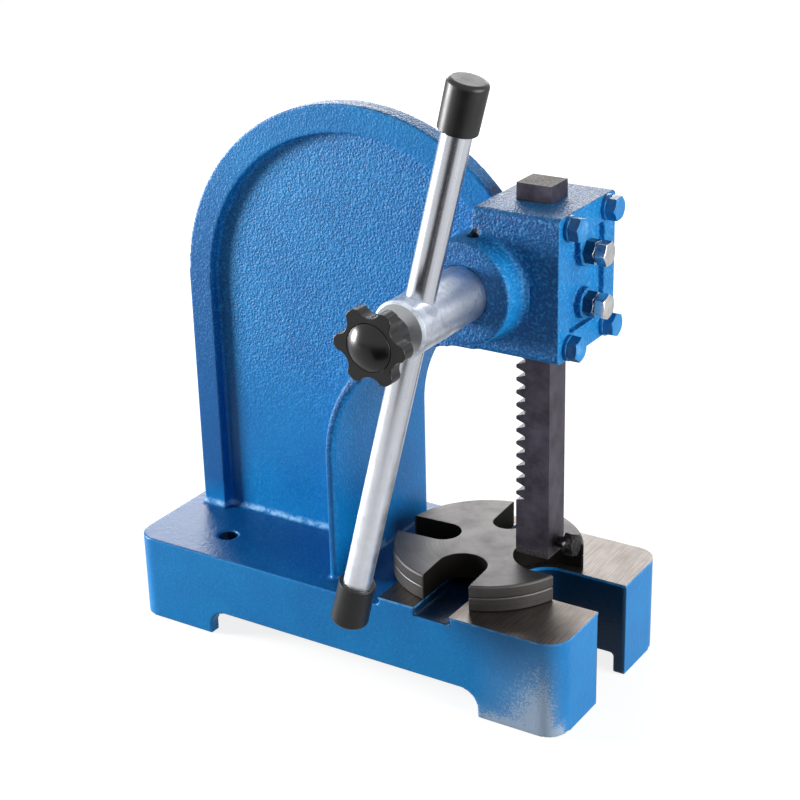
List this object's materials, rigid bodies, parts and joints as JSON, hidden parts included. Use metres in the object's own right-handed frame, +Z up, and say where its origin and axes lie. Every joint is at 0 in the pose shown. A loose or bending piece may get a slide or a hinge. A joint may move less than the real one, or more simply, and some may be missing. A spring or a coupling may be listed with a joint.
{
  "type": "hand arbor press",
  "caption": "Cast-iron bench arbor press: a rack ram driven by a pinion shaft with a sliding handle bar, over a slotted anvil plate.",
  "frame": {"origin": "on the bench plane, under the middle of the whole machine's box", "axes": "+X towards the ram and the open throat, +Y away from the handle, +Z up"},
  "size_m": [0.2416, 0.1694, 0.3062],
  "materials": {
    "blue_paint": "gloss paint on a sand casting",
    "zinc_plate": "zinc plated",
    "polished_bar": "bright drawn",
    "black_oxide": "blackened, milled",
    "oxide_screw": "black oxide",
    "machined_iron": "turned and milled",
    "black_plastic": "satin moulded"
  },
  "bodies": {
    "frame": {"frame_casting": "blue_paint", "front_cover": "blue_paint", "cover_bolt_1": "blue_paint", "cover_bolt_2": "blue_paint", "cover_bolt_3": "blue_paint", "cover_bolt_4": "blue_paint", "cover_washer_1": "blue_paint", "cover_washer_2": "blue_paint", "cover_washer_3": "blue_paint", "cover_washer_4": "blue_paint", "adjuster_screw_1": "zinc_plate", "adjuster_screw_2": "zinc_plate", "adjuster_nut_1": "blue_paint", "adjuster_nut_2": "blue_paint", "anvil_pin": "machined_iron"},
    "ram": {"ram": "black_oxide", "tool_clamp_screw": "oxide_screw"},
    "pinion": {"pinion_shaft": "zinc_plate", "shaft_washer": "zinc_plate", "shaft_screw": "zinc_plate"},
    "handle": {"handle_bar": "polished_bar", "handle_cap_upper": "black_plastic", "handle_cap_lower": "black_plastic"},
    "knob_screw": {"knob_stud": "zinc_plate"},
    "knob": {"knob_star": "black_plastic", "knob_dome": "black_plastic"},
    "anvil": {"anvil_plate": "machined_iron"}
  },
  "joints": [
    {"name": "pinion_turn", "type": "hinge", "parent": "frame", "child": "pinion", "pos_m": [0.0654, 0.03215, 0.2008], "axis": [0, -1, 0], "range_deg": [-14, 515]},
    {"name": "ram_slide", "type": "slide", "parent": "frame", "child": "ram", "axis": [0, 0, 1], "range_m": [-0.0025, 0.09]},
    {"name": "handle_slide", "type": "slide", "parent": "pinion", "child": "handle", "axis": [0.2487, 0, 0.9686], "range_m": [-0.072, 0.122]},
    {"name": "knob_out", "type": "slide", "parent": "pinion", "child": "knob_screw", "axis": [0, -1, 0], "range_m": [0, 0.0026]},
    {"name": "knob_turn", "type": "hinge", "parent": "knob_screw", "child": "knob", "pos_m": [0.0654, -0.07585, 0.2008], "axis": [0, -1, 0], "range_deg": [0, 720]},
    {"name": "anvil_turn", "type": "hinge", "parent": "frame", "child": "anvil", "pos_m": [0.0548, 0.03215, 0.055], "axis": [0, 0, 1], "continuous": true}
  ],
  "couplings": [
    {"joint": "ram_slide", "follows": "pinion_turn", "m_per_rad": 0.01},
    {"joint": "knob_out", "follows": "knob_turn", "m_per_rad": 0.00019894}
  ]
}
